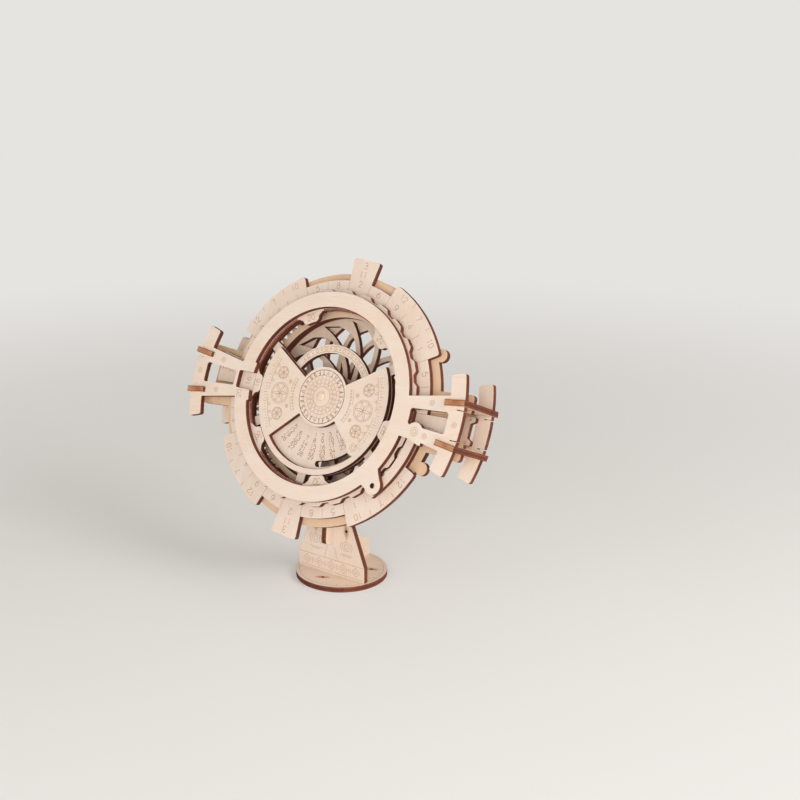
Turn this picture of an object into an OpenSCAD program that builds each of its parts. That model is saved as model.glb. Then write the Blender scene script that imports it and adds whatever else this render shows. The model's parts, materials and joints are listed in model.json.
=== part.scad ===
// Perpetual desk calendar of laser-cut plywood: a leaning wheel of rings on a round stand.
// The wheel is drawn flat, its front face at w = 0 and its layers behind it at negative w.
// Angles on the wheel run clockwise from its top, as a visitor in front of it sees them.

/* [Sheets and fits] */
// Thickness of the plywood sheets
sheet = 3; // [2.8:0.1:3.2]
// Gap between two layers that turn past each other
layer_gap = 0.4; // [0.3:0.05:0.6]
// Clearance on each side where two sheets slot together
slot_gap = 0.05; // [0.02:0.01:0.1]
// Radial clearance of a turning pin or axle
pin_gap = 0.05; // [0.02:0.01:0.09]
// Radial clearance between two rings that turn in one plane
rim_gap = 0.3; // [0.2:0.05:0.5]
// Rounding of the small corners
corner_r = 1.2; // [0.8:0.1:1.5]

/* [Stand] */
// Diameter of the base disc
base_d = 50.6; // [50:0.5:60]
// Height of the wheel's centre above the table
hub_h = 107.6; // [107:0.5:112]
// How far the wheel's centre stands in front of the base disc's centre
hub_forward = 19.5; // [18.5:0.25:20.5]
// How far the wheel leans back from upright, in degrees
lean = 23.85; // [23:0.25:24.5]
// Width of the stand's front panel at its foot
panel_foot_w = 45; // [42:0.5:46]
// Width of the front panel at its top
panel_top_w = 21.4; // [20:0.5:26]
// Height of the front panel above the base disc
panel_h = 40.6; // [36:0.5:42]
// Height of the panel's upright sides
panel_knee_h = 8.6; // [6:0.5:12]
// How far the panel's front face stands in front of the disc's centre
panel_forward = 9.5; // [8.5:0.25:10]
// Height of the slot's floor above the base disc
panel_slot_h = 18.2; // [16:0.5:20]
// Depth of the rib's foot behind the panel
rib_foot = 30.7; // [28:0.5:31]
// Height of the rib's rear edge
rib_tail_h = 9.3; // [7:0.5:12]

/* [Front frame] */
// How far the year ring's inner edge stands in from the front ring's
ring_lip = 1; // [0.8:0.1:1.2]
// Width of the front ring
ring_w = 8; // [7.6:0.1:8.2]
// Distance from the front ring to the wing windows
window_gap = 2.2; // [2:0.1:2.6]
// Outer radius of the wing bars
bar_out = 87.1; // [86:0.1:88.5]
// Width of the wing bars
bar_w = 8.1; // [7.5:0.1:8.6]
// Half the angle that a wing bar spans
bar_half = 17.25; // [16:0.25:18]
// Half the angle of a wing's outer edges
arm_half = 10; // [9.5:0.25:10.5]
// Half the angle of a wing's window
window_half = 4; // [3.5:0.25:4.25]
// Half the height of the year notch
notch_half = 4.8; // [4.4:0.1:5]
// Radius of the lug and the pad on the right of the ring
lug_r = 4.6; // [4:0.1:4.8]
// Distance from the front ring's edge to the lug's centre
lug_gap = 4.5; // [4:0.1:4.8]

/* [Connectors] */
// Half the angle between a wing's two connectors
link_half = 7.4; // [7:0.1:7.6]
// Depth of the fingers that clasp the frames, from the slot floor inwards
link_finger = 5.9; // [5:0.1:6]
// How far a connector stands out of the bars, front and back
link_proud = 2; // [1.5:0.1:2.5]
// How far a connector stands out past the bar's edge
link_edge = 0.9; // [0.5:0.1:1.2]
// Depth of the slots, from the bar's outer edge inwards
link_slot = 4.4; // [4:0.1:5]
// Depth from the front frame's face to the rear frame's face
frame_depth = 28.5; // [28.5:0.1:30]

/* [Year ring] */
// How far the waves' crests stand out past the front ring
year_rim = 2.1; // [1.9:0.1:2.3]
// Depth of the waves
year_wave = 1.6; // [1:0.1:1.8]
// How far the label tabs reach in from the ring
year_tab = 4.9; // [4.6:0.1:5.2]

/* [Month dial] */
// Years in the calendar's cycle, and sectors on the dials
sectors = 28; // [28:28]
// Clockwise turn of the month dial, in degrees
month_turn = 4.1; // [3.5:0.1:5]
// Width of the month ring between its tabs
month_w_plain = 15.7; // [15.4:0.1:16.4]
// Gap between the tabs with one sector and the bars' inner edges
month_long_gap = 3.7; // [3.4:0.1:4.5]
// Radius of the date plate and the window cover
plate_r = 41; // [39.5:0.1:42]
// Width of the bridges between the plate and the ring
bridge_w = 5.2; // [4.5:0.1:6]
// Inner radius of the arch over the hub
arch_in = 24; // [23:0.25:25]
// Width of the arch
arch_w = 4.5; // [4:0.1:5]

/* [Window cover] */
// Width of the cover's rim outside the date window
date_rim = 2.9; // [2.6:0.1:3.2]
// Half the angle of the date window
date_half = 47; // [45:0.5:48]
// Width of the ring round the weekday disc
cover_rim = 1.4; // [1.2:0.1:1.6]
// Radius of the weekday disc
day_r = 14.1; // [14:0.1:14.3]
// Distance from the plate's edge in to the guide slot's middle
guide_in = 6.2; // [6:0.1:6.6]
// Radius of the cover's pin
cover_pin_r = 1.5; // [1.3:0.1:1.6]
// Angle of the cover's pin
cover_pin_at = 129; // [126:0.5:132]
// Sectors between the guide slot's two ends
guide_sectors = 6; // [6:6]

/* [Hub] */
// Radius of the weekday axle
axle_r = 2.4; // [2.2:0.05:2.8]
// How far the axle's end stands out of the weekday disc
axle_nub = 1; // [0.5:0.1:1.5]
// Radius of the axle's rear knob
axle_knob_r = 9; // [8:0.5:10]

/* [Gears] */
// Teeth on the main gear
main_teeth = 75; // [75:75]
// Teeth on the pinion
pinion_teeth = 10; // [10:10]
// Distance from the month ring's inner edge to the main gear's pitch circle
gear_out = 2.36; // [2.3:0.02:2.4]
// Play between the teeth at the pitch circle
backlash = 0.16; // [0.1:0.02:0.24]
// How far the main gear's inner edge stands in from the month ring's
gear_lip = 2.8; // [2.5:0.1:3.2]
// Radius of the pinion's axle
pinion_axle_r = 1.5; // [1.3:0.1:1.7]
// Radius of the side knob
side_knob_r = 9; // [7:0.5:10]

/* [Swirls] */
// Slots in each swirl
swirl_slots = 15; // [12:1:16]
// How far the swirls' rims reach past the month ring's inner edge
swirl_out = 3.5; // [3:0.1:3.8]
// Width of the swirls' rims outside the slots' tips
swirl_rim = 6.6; // [6.2:0.1:7.4]
// Radius of the slots' inner ends
swirl_root = 13; // [12:0.25:14]
// Angle that a slot sweeps through
swirl_sweep = 31; // [26:1:36]
// Width of the curved vanes
vane_w = 3; // [2.6:0.1:3.4]

/* [Hidden] */
$fn = 72;

// Wood tones
birch = [0.93, 0.84, 0.72];
honey = [0.84, 0.70, 0.52];
dowel = [0.80, 0.62, 0.42];

// Places of the layers' front faces
layer_step = sheet + layer_gap;
year_w = -layer_step;
month_w = -2 * layer_step;
middle_w = -3 * layer_step;
gear_w = -4 * layer_step;
swirl_w = -6 * layer_step;
rear_swirl_w = -7 * layer_step;

// The wheel's rings, each from its neighbour inside it
year_tab_in = plate_r + rim_gap;
year_in = year_tab_in + year_tab;
ring_in = year_in + ring_lip;
ring_out = ring_in + ring_w;
year_crest = ring_out + year_rim;
month_in = ring_in + 0.2;
month_plain = month_in + month_w_plain;
window_in = ring_out + window_gap;
bar_in = bar_out - bar_w;
month_long = bar_in - month_long_gap;
month_tab = month_plain + 0.55 * (month_long - month_plain);
guide_r = plate_r - guide_in;
swirl_r = month_in + swirl_out;
swirl_tip = swirl_r - swirl_rim;
gear_in = month_in - gear_lip;

// Sectors and joints
sector_a = 360 / sectors;
lug_at = 129.5;
lug_reach = ring_out + lug_gap;
pad_at = 96.5;
pad_reach = ring_out + 7.6;
pinion_at = 0;
module_mm = 2 * (month_in + gear_out) / main_teeth;
gear_centres = module_mm * (main_teeth + pinion_teeth) / 2;
press = 0.01;
tiny = 0.01;

// A point on the wheel, and points along an arc
function pol(r, a) = [r * sin(a), r * cos(a)];
function arc(r, a0, a1, n) = [for (i = [0:n]) pol(r, a0 + (a1 - a0) * i / n)];

// Corners of an outline rounded by arcs of radius r
function unit(v) = v / norm(v);
function corner_arc(p, a, b, r, n) =
    let (u = unit(a - p), v = unit(b - p))
    let (half = acos(max(-1, min(1, u * v))) / 2)
    let (side = r / tan(half), mid = p + unit(u + v) * r / sin(half))
    let (s = p + u * side - mid, e = p + v * side - mid)
    let (turn = 180 - 2 * half, dir = s[0] * e[1] - s[1] * e[0] > 0 ? 1 : -1)
    [for (i = [0:n]) let (t = dir * turn * i / n)
        mid + [s[0] * cos(t) - s[1] * sin(t), s[0] * sin(t) + s[1] * cos(t)]];
function rounded(pts, radii, n = 5) = [for (i = [0:len(pts) - 1])
    let (k = len(pts), r = radii[i])
    for (q = r <= 0 ? [pts[i]]
        : corner_arc(pts[i], pts[(i + k - 1) % k], pts[(i + 1) % k], r, n)) q];

// An arc band with its corners rounded: r_a for the inner pair, r_b for the outer pair
module arc_band(r0, r1, a0, a1, r_a = 0, r_b = 0, n = 12) {
    inner = arc(r0, a0, a1, n);
    outer = arc(r1, a1, a0, n);
    ends_a = [for (i = [0:n]) i == 0 || i == n ? r_a : 0];
    ends_b = [for (i = [0:n]) i == 0 || i == n ? r_b : 0];
    polygon(rounded(concat(inner, outer), concat(ends_a, ends_b)));
}

// A wedge of the plane between two angles
module wedge(a0, a1, r) {
    polygon(concat([[0, 0]], arc(r, a1, a0, 6)));
}

module at(r, a) {
    rotate(-a) translate([0, r]) children();
}

module ring(r_out, r_in) {
    difference() {
        circle(r = r_out);
        circle(r = r_in);
    }
}

// Sheets on the wheel: the children's outline cut from plywood, front face at w
module wheel(w) {
    translate([0, -hub_forward, hub_h]) rotate([90 - lean, 0, 0]) translate([0, 0, w]) children();
}

module ply(w, t = sheet) {
    wheel(w - t) linear_extrude(t) children();
}

// Both wings, drawn pointing to the right
module wings() {
    children();
    rotate(180) children();
}

// ---------------------------------------------------------------- frames

// A wing: two arms and a bar on its end
module wing() {
    difference() {
        arc_band(ring_out - 4, bar_in + 2, 90 - arm_half, 90 + arm_half);
        arc_band(window_in, bar_in, 90 - window_half, 90 + window_half, corner_r, corner_r);
    }
    arc_band(bar_in, bar_out, 90 - bar_half, 90 + bar_half, corner_r, corner_r);
}

// Slots for the two connectors of a wing, with a thin spring slit beside each
module link_slots(outer) {
    for (side = [-1, 1]) {
        rotate(side * link_half) translate([outer - link_slot, -sheet / 2 - slot_gap])
            square([2 * link_slot, sheet + 2 * slot_gap]);
    }
}

module spring_slits() {
    slit = 0.5;
    for (side = [-1, 1]) translate([bar_out - 4.2, side * 7.5 - slit / 2]) square([8, slit]);
}

// The pad and the lug on the ring's right side
module pad() {
    at(pad_reach, pad_at) circle(r = lug_r);
    foot = pad_reach + 5.7;
    polygon(rounded([pol(ring_out - 2, 98), pol(ring_out - 1, 101.2), pol(pad_reach - 2.8, 100.6),
        pol(pad_reach + 2, 101.2), pol(foot, 101.4), pol(foot, 96)], [0, 0, 2.5, 1.5, 0, 0]));
}

module lug() {
    at(lug_reach, lug_at) circle(r = lug_r);
    polygon(rounded([pol(ring_out - 3, lug_at + 5.5), pol(ring_out, lug_at + 5.1),
        pol(lug_reach - 1.5, lug_at + 4.3), pol(lug_reach, lug_at), pol(lug_reach + 2.1, lug_at - 3.8),
        pol(lug_reach - 2.1, lug_at - 5.9), pol(ring_out, lug_at - 7.5),
        pol(ring_out - 3, lug_at - 8.5)], [0, 2, 0, 0, 0, 2.2, 3, 0]));
}

// The year notch on the ring's left side, with the wider ring round it
module year_notch() {
    translate([-ring_out - 0.2, -notch_half])
        polygon(rounded([[0, 0], [12, 0], [12, 2 * notch_half], [0, 2 * notch_half]],
            [corner_r, 0, 0, corner_r]));
}

module front_outline() {
    difference() {
        union() {
            ring(ring_out, ring_in);
            arc_band(ring_in - 1.4, ring_in + 1, 257, 283, 1, 0);
            wings() wing();
            pad();
            lug();
        }
        year_notch();
        wings() link_slots(bar_out);
        wings() spring_slits();
        at(lug_reach, lug_at) circle(r = 1.4);
        at(pad_reach, pad_at) circle(r = detent_pin_r + press);
        guide_places() circle(r = guide_pin_r + press);
    }
}

module front_frame() {
    color(birch) ply(0) front_outline();
}

middle_in = month_in + 4.6;
middle_out = month_plain + 4.2;
ear_r = 3.4;
ear_at = [61.5, 110.3];
ear_reach = middle_out + 2;

module middle_wing() {
    tip = bar_out - 1.9;
    root = middle_in + 3;
    root_half = 14.8;
    tip_half = 16.9;
    recess_half = 7.6;
    polygon(rounded([[root, -root_half], [tip, -tip_half], [tip, -recess_half],
        [bar_in, -recess_half], [bar_in, recess_half], [tip, recess_half], [tip, tip_half],
        [root, root_half]], [0, 2, 0.5, 0.5, 0.5, 0.5, 2, 0]));
}

module middle_frame() {
    color(honey) ply(middle_w) difference() {
        union() {
            circle(r = middle_out);
            wings() middle_wing();
            for (a = ear_at) at(ear_reach, a) circle(r = ear_r);
        }
        circle(r = middle_in);
        wings() link_slots(bar_out);
        at_pinion() circle(r = pinion_axle_r + pin_gap);
    }
}

rear_out = ring_out + 1.8;
rear_in = rear_out - 8;
rear_hub_r = 9;
rear_boss_r = 5;
beam_w = 10;
spoke_w = 16;

// Tenons of the stand's rib through the rear frame, as places along the wheel's upright axis
rib_low = -58;
rib_high = -35;
tenon = 6;
tenon_at = [rib_low + 4, rib_high - 6];

module rear_frame() {
    color(birch) ply(-frame_depth) difference() {
        union() {
            ring(rear_out, rear_in);
            circle(r = rear_hub_r);
            wings() wing();
            translate([-rear_in - 2, -beam_w / 2]) square([2 * rear_in + 4, beam_w]);
            translate([-spoke_w / 2, rib_low - 3]) square([spoke_w, -rib_low]);
            at_pinion() circle(r = rear_boss_r);
        }
        circle(r = axle_r + pin_gap);
        at_pinion() circle(r = pinion_axle_r + pin_gap);
        wings() link_slots(bar_out);
        wings() spring_slits();
        for (s = tenon_at) translate([-sheet / 2 - slot_gap, s - tenon / 2 - slot_gap])
            square([sheet + 2 * slot_gap, tenon + 2 * slot_gap]);
    }
}

// A connector: a comb that clasps the three frames, drawn with x out along the wing and y = w
slot_floor = bar_out - link_slot;
link_in = slot_floor - link_finger;
link_out = bar_out + link_edge;

module connector_outline() {
    back = -frame_depth - sheet;
    difference() {
        translate([link_in, back - link_proud])
            square([link_out - link_in, link_proud * 2 - back]);
        for (w = [0, middle_w, -frame_depth])
            translate([link_in - 1, w - sheet - slot_gap])
                square([link_finger + 1 + slot_gap, sheet + 2 * slot_gap]);
    }
}

module connector(side, up) {
    color(honey) wheel(0) mirror([side < 0 ? 1 : 0, 0, 0]) rotate(up * link_half)
        translate([0, sheet / 2, 0]) rotate([90, 0, 0]) linear_extrude(sheet) connector_outline();
}

// A bone-shaped brace across a rear wing's window
brace_in = bar_out - 13;
brace_out = brace_in + 5.8;
brace_half = 7.3;

module wing_brace(side) {
    edge = rounded([[brace_in, -brace_half], [brace_out, -brace_half], [brace_out, -5],
        [brace_out - 2.4, -3.7], [brace_out - 2.4, 3.7], [brace_out, 5], [brace_out, brace_half],
        [brace_in, brace_half]], [1, 1, 0.6, 0.8, 0.8, 0.6, 1, 1]);
    color(birch) ply(sheet - frame_depth) rotate(side < 0 ? 180 : 0) polygon(edge);
}

// ---------------------------------------------------------------- year ring and its detent

guide_pin_r = 1;
guide_pin_at = [85, 95, 265, 275];
detent_pin_r = 1.5;

module guide_places() {
    for (a = guide_pin_at) at(year_crest + rim_gap + guide_pin_r, a) children();
}

module guide_pins() {
    color(dowel) ply(0, layer_step + sheet) guide_places() circle(r = guide_pin_r);
}

// One wave of the edge: a flat valley, a slope, a flat crest and a slope
module waves() {
    low = year_crest - year_wave;
    polygon([for (k = [0:sectors - 1]) for (q = [[low, -0.36], [year_crest, -0.2],
        [year_crest, 0.2], [low, 0.36]]) pol(q[0], 270 - (k + q[1]) * sector_a)]);
}

module year_ring() {
    color(birch) ply(year_w) {
        difference() {
            waves();
            circle(r = year_in);
        }
        for (k = [0:5]) rotate(-270 - k * 5 * sector_a) year_label_tab();
    }
}

// A label tab at the top of the ring: wide at its root, with hollow shoulders and a round end
module year_label_tab() {
    polygon(rounded([pol(year_in + 0.6, -10.6), pol(year_in - 0.3, -9.4), pol(year_in - 2, -6.6),
        pol(year_tab_in + 1.2, -6.3), pol(year_tab_in, -4.6), pol(year_tab_in, 0),
        pol(year_tab_in, 4.6), pol(year_tab_in + 1.2, 6.3), pol(year_in - 2, 6.6),
        pol(year_in - 0.3, 9.4), pol(year_in + 0.6, 10.6)],
        [0, 0.4, 2, 0.8, 0.8, 0, 0.8, 0.8, 2, 0.4, 0]));
}

// The springy arm that rides on the waves
arm_in = year_crest + 1;
arm_out = year_crest + 5.7;
arm_end = 135;

module detent_arm() {
    color(birch) ply(year_w) difference() {
        union() {
            at(pad_reach, pad_at) circle(r = 3.2);
            arc_band(arm_in, arm_out, pad_at + 1, arm_end, 1, 1, 16);
            polygon([pol(arm_in + 1, 119), pol(year_crest + rim_gap, 120.4),
                pol(year_crest + rim_gap, 121.4), pol(arm_in + 1, 122.8)]);
        }
        at(pad_reach, pad_at) circle(r = detent_pin_r + pin_gap);
    }
}

module detent_pin() {
    tail = 0.4;
    color(dowel) ply(0, layer_step + sheet + tail) at(pad_reach, pad_at) circle(r = detent_pin_r);
}

// ---------------------------------------------------------------- month dial

plate_edge = 58;
bridge_at = [56, 120, 180, 240, 294.5];
guide_slot_gap = 0.1;

module month_outline() {
    difference() {
        union() {
            circle(r = month_plain);
            for (q = [0:3]) {
                arc_band(month_plain - 2, month_long, q * 90 - sector_a / 2, q * 90 + sector_a / 2,
                    0, corner_r);
                arc_band(month_plain - 2, month_tab, q * 90 + 1.5 * sector_a, q * 90 + 4.5 * sector_a,
                    0, corner_r);
            }
        }
        circle(r = month_in);
    }
    for (a = bridge_at) rotate(-a) translate([-bridge_w / 2, plate_r - 1.5])
        square([bridge_w, month_in - plate_r + 2.5]);
}

// The guide slot in the date plate, in which the cover's pin travels
guide_mid = 10 * sector_a;

module guide_slot() {
    w = cover_pin_r + guide_slot_gap;
    half = guide_sectors * sector_a / 2 + w / guide_r * 180 / PI;
    end_r = w - 0.05;
    arc_band(guide_r - w, guide_r + w, guide_mid - half, guide_mid + half, end_r, end_r, 24);
}

module date_plate() {
    difference() {
        union() {
            intersection() {
                circle(r = plate_r);
                wedge(plate_edge - 1, 360 - plate_edge - month_turn, 2 * plate_r);
            }
            circle(r = day_r);
            intersection() {
                ring(arch_in + arch_w, arch_in);
                wedge(-plate_edge - month_turn - 1, plate_edge, 2 * plate_r);
            }
        }
        circle(r = axle_r + pin_gap);
        guide_slot();
    }
}

module month_dial() {
    color(birch) ply(month_w) rotate(-month_turn) {
        month_outline();
        date_plate();
    }
}

// Blocks between the month ring and the main gear, running in the middle frame's bore
block_in = month_in + 0.2;
block_out = middle_in - rim_gap;
block_half = 5;

module spacer_blocks() {
    front = month_w - sheet;
    color(honey) ply(front, front - gear_w) rotate(-month_turn)
        for (k = [0:5]) intersection() {
            ring(block_out, block_in);
            wedge(k * 60 + 20 - block_half, k * 60 + 20 + block_half, 60);
        }
}

// ---------------------------------------------------------------- gears

pressure = 25;
function involute(rb, r) = let (a = acos(min(1, rb / r))) tan(a) * 180 / PI - a;

// Half the angle of a tooth at radius r
function tooth_half(teeth, r) =
    let (rp = module_mm * teeth / 2, rb = rp * cos(pressure))
    let (at_pitch = 90 / teeth - backlash / 2 / rp * 90 / PI)
    at_pitch + involute(rb, rp) - involute(rb, max(r, rb));

module gear(teeth, turn) {
    rp = module_mm * teeth / 2;
    tip = rp + 0.9 * module_mm;
    root = rp - 1.2 * module_mm;
    start = max(root, rp * cos(pressure));
    steps = 4;
    flank = [for (i = [0:steps]) start + (tip - start) * i / steps];
    polygon([for (k = [0:teeth - 1]) let (a = turn + k * 360 / teeth) each concat(
        [pol(root, a - tooth_half(teeth, start))],
        [for (i = [0:steps]) pol(flank[i], a - tooth_half(teeth, flank[i]))],
        [for (i = [steps:-1:0]) pol(flank[i], a + tooth_half(teeth, flank[i]))],
        [pol(root, a + tooth_half(teeth, start))])]);
}

module main_gear() {
    color(honey) ply(gear_w) difference() {
        gear(main_teeth, pinion_at);
        circle(r = gear_in);
    }
}

// The pinion has a gap, not a tooth, on the line to the wheel's centre
module pinion() {
    turn = pinion_at + 180 + 180 / pinion_teeth;
    color(honey) ply(gear_w - layer_gap) at_pinion() difference() {
        gear(pinion_teeth, turn);
        circle(r = pinion_axle_r + press);
    }
}

module at_pinion() {
    translate(pol(gear_centres, pinion_at)) children();
}

module pinion_axle() {
    front = middle_w - layer_gap;
    color(dowel) ply(front, front + frame_depth + layer_step + knob_t) at_pinion()
        circle(r = pinion_axle_r);
}

// A knob with finger grips round its rim
knob_t = 4;
grip_r = 1.8;
grip_out = 0.8;

module knob(r, bore, grips) {
    difference() {
        circle(r = r);
        for (k = [0:grips - 1]) rotate(k * 360 / grips) translate([r + grip_out, 0])
            circle(r = grip_r);
        circle(r = bore + press);
    }
}

module side_knob() {
    color(birch) ply(-frame_depth - layer_step, knob_t) at_pinion()
        knob(side_knob_r, pinion_axle_r, 12);
}

// ---------------------------------------------------------------- swirls

module spacer_ring() {
    color(honey) ply(gear_w - sheet, gear_w - sheet - swirl_w)
        ring(gear_in + 3.6, gear_in + 1);
}

// A curved slot that ends in a point; u runs from 0 at its root to 1 at its tip
function slot_half(r) = 180 / swirl_slots - vane_w / 2 / r * 180 / PI;
function slot_ease(u) = sqrt(min(1, (1 - u) / 0.3));

module swirl_slot(dir) {
    n = 12;
    side_a = [for (i = [0:n]) let (u = i / n, r = swirl_root + (swirl_tip - swirl_root) * u)
        pol(r, dir * (swirl_sweep * u + slot_half(r)))];
    side_b = [for (i = [n - 1:-1:0]) let (u = i / n, r = swirl_root + (swirl_tip - swirl_root) * u)
        pol(r, dir * (swirl_sweep * u + slot_half(r) * (1 - 2 * slot_ease(u))))];
    polygon(concat(side_a, side_b));
}

module swirl(dir, first, bore) {
    difference() {
        circle(r = swirl_r);
        for (k = [0:swirl_slots - 1]) rotate(-first - k * 360 / swirl_slots) swirl_slot(dir);
        circle(r = bore);
    }
}

module front_swirl() {
    color(birch) ply(swirl_w) swirl(-1, 11, axle_r + pin_gap);
}

module rear_swirl() {
    color(birch) ply(rear_swirl_w) swirl(1, 3, axle_r + press);
}

// ---------------------------------------------------------------- window cover

module window_cover() {
    hub = day_r + rim_gap;
    rim = hub + cover_rim;
    color(birch) ply(year_w) difference() {
        union() {
            intersection() {
                circle(r = plate_r);
                wedge(plate_edge, 360 - plate_edge, 2 * plate_r);
            }
            circle(r = rim);
        }
        difference() {
            arc_band(rim, plate_r - date_rim, 180 - date_half, 180 + date_half, 0.5, 0.5);
            at(guide_r, cover_pin_at) circle(r = pin_pad_r);
        }
        circle(r = hub);
        at(guide_r, cover_pin_at) circle(r = cover_pin_r + press);
    }
}

pin_pad_r = 4.2;
keeper_t = 1.6;

module window_pin() {
    color(dowel) ply(year_w, layer_step + sheet + layer_gap + keeper_t)
        at(guide_r, cover_pin_at) circle(r = cover_pin_r);
}

module pin_keeper() {
    color(honey) ply(month_w - sheet - layer_gap, keeper_t) at(guide_r, cover_pin_at) difference() {
        circle(r = 3);
        circle(r = cover_pin_r + press);
    }
}

// ---------------------------------------------------------------- weekday disc and axle

module weekday_disc() {
    color(birch) ply(year_w) difference() {
        circle(r = day_r);
        circle(r = axle_r + press);
    }
}

module axle() {
    front = year_w + axle_nub;
    color(dowel) ply(front, front + frame_depth + layer_step + knob_t) circle(r = axle_r);
}

collar_r = 6;

module axle_collar() {
    front = rear_swirl_w - sheet;
    color(honey) ply(front, front + frame_depth - rim_gap) ring(collar_r, axle_r + press);
}

module axle_knob() {
    color(birch) ply(-frame_depth - layer_step, knob_t) knob(axle_knob_r, axle_r, 14);
}

// ---------------------------------------------------------------- stand

panel_y = -panel_forward;
panel_back = panel_y + sheet;
panel_tenons = [-14, 14];
panel_tenon_w = 9;
rib_tenons = [2, 16];
rib_tenon_w = 7;
panel_hole_x = 10.5;
panel_hole = 1.6;
base_holes = [[-0.9, -15.9], [14.4, 8.1]];
base_hole = 1.4;

// The rib's shoulders, as distances in from its foot's tail and up from its rear edge
shoulder_low = [12.1, 7];
shoulder_high = [21.2, 12.3];
nose = 6;
nose_up = 1.7;

// A point of the stand's middle plane, from its place s up the wheel and its depth w
function side_point(s, w) = [-hub_forward + s * sin(lean) - w * cos(lean),
    hub_h + s * cos(lean) + w * sin(lean)];

module base_disc() {
    color(birch) linear_extrude(sheet) difference() {
        circle(d = base_d);
        for (x = panel_tenons) translate([x - panel_tenon_w / 2 - slot_gap, panel_y - slot_gap])
            square([panel_tenon_w + 2 * slot_gap, sheet + 2 * slot_gap]);
        for (y = rib_tenons) translate([-sheet / 2 - slot_gap, y - slot_gap])
            square([sheet + 2 * slot_gap, rib_tenon_w + 2 * slot_gap]);
        for (p = base_holes) translate(p) rotate(45) square(base_hole, center = true);
    }
}

module panel_outline() {
    half = panel_foot_w / 2;
    top = panel_top_w / 2;
    slot = sheet / 2 + slot_gap;
    difference() {
        polygon(rounded([[-half, 0], [half, 0], [half, panel_knee_h], [top, panel_h],
            [-top, panel_h], [-half, panel_knee_h]], [0, 0, 2, 1, 1, 2]));
        translate([-slot, panel_slot_h]) square([2 * slot, panel_h]);
        for (side = [-1, 1]) translate([side * panel_hole_x, panel_h - 13]) rotate(45)
            square(panel_hole, center = true);
    }
    for (x = panel_tenons) translate([x - panel_tenon_w / 2, -sheet])
        square([panel_tenon_w, sheet + tiny]);
}

module stand_panel() {
    color(birch) translate([0, panel_back, sheet]) rotate([90, 0, 0]) linear_extrude(sheet)
        panel_outline();
}

// The rib: a foot on the disc, a step over the panel and a neck that ends flat on the rear frame
module rib_outline() {
    back_w = -frame_depth - sheet;
    floor_z = sheet + panel_slot_h;
    tail = panel_back + rib_foot;
    low = side_point(rib_low, back_w);
    high = side_point(rib_high, back_w);
    polygon(rounded([[panel_back + slot_gap, sheet], [tail, sheet], [tail, sheet + rib_tail_h],
        [tail - shoulder_low[0], sheet + rib_tail_h + shoulder_low[1]],
        [tail - shoulder_high[0], sheet + rib_tail_h + shoulder_high[1]], high, low,
        [panel_y - nose - 0.4, floor_z + nose_up + 2.4], [panel_y - nose, floor_z + nose_up],
        [panel_y, floor_z + slot_gap], [panel_back + slot_gap, floor_z + slot_gap]],
        [0, 0, 1.5, 4, 5, 0, 0, 1, 0.5, 0, 0]));
    for (y = rib_tenons) translate([y, 0]) square([rib_tenon_w, sheet + tiny]);
    for (s = tenon_at) polygon([side_point(s - tenon / 2, back_w - tiny),
        side_point(s + tenon / 2, back_w - tiny), side_point(s + tenon / 2, back_w + sheet),
        side_point(s - tenon / 2, back_w + sheet)]);
}

module stand_rib() {
    color(birch) translate([-sheet / 2, 0, 0]) rotate([90, 0, 90]) linear_extrude(sheet)
        rib_outline();
}

// ---------------------------------------------------------------- nodes

base_disc();
stand_panel();
stand_rib();
front_frame();
middle_frame();
rear_frame();
connector(-1, 1);  // connector_left_upper
connector(-1, -1);  // connector_left_lower
connector(1, 1);  // connector_right_upper
connector(1, -1);  // connector_right_lower
wing_brace(-1);  // wing_brace_left
wing_brace(1);  // wing_brace_right
year_ring();
guide_pins();
detent_arm();
detent_pin();
month_dial();
spacer_blocks();
main_gear();
spacer_ring();
front_swirl();
window_cover();
window_pin();
pin_keeper();
weekday_disc();
axle();
rear_swirl();
axle_collar();
axle_knob();
pinion();
pinion_axle();
side_knob();
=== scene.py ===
"""Perpetual desk calendar of laser-cut plywood: finishes, engravings and stage round the frame.

Sizes are in millimetres unless a comment says otherwise. Angles on the dials are in degrees,
clockwise from the top as seen from the front.
"""

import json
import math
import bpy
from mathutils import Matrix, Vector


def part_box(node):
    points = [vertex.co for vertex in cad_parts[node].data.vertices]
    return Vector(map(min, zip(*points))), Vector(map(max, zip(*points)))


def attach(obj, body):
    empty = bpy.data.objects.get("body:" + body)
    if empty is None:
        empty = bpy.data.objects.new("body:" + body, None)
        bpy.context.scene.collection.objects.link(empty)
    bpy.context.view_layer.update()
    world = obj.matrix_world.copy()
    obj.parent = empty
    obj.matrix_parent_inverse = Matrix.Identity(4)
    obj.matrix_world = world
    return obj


bl_info = {
    "name": "Perpetual Desk Calendar",
    "version": (1, 0, 0),
    "blender": (4, 5, 0),
    "location": "View3D > Sidebar > Calendar",
    "description": "Laser-cut plywood perpetual calendar with engraved dials, on a plain stage",
    "category": "Object",
}

import bpy
import numpy as np
from bpy.props import FloatProperty, FloatVectorProperty, PointerProperty
from mathutils import Matrix

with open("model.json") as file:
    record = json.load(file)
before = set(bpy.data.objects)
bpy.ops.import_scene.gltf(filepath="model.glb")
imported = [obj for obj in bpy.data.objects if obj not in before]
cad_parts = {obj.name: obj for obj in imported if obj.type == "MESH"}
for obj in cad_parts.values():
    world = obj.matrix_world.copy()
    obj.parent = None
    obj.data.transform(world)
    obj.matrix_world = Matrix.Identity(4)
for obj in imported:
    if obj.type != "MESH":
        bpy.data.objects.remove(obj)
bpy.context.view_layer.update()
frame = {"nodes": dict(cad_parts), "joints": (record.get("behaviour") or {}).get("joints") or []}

MM = 0.001
ROOT = "stand_and_frames"
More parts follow.
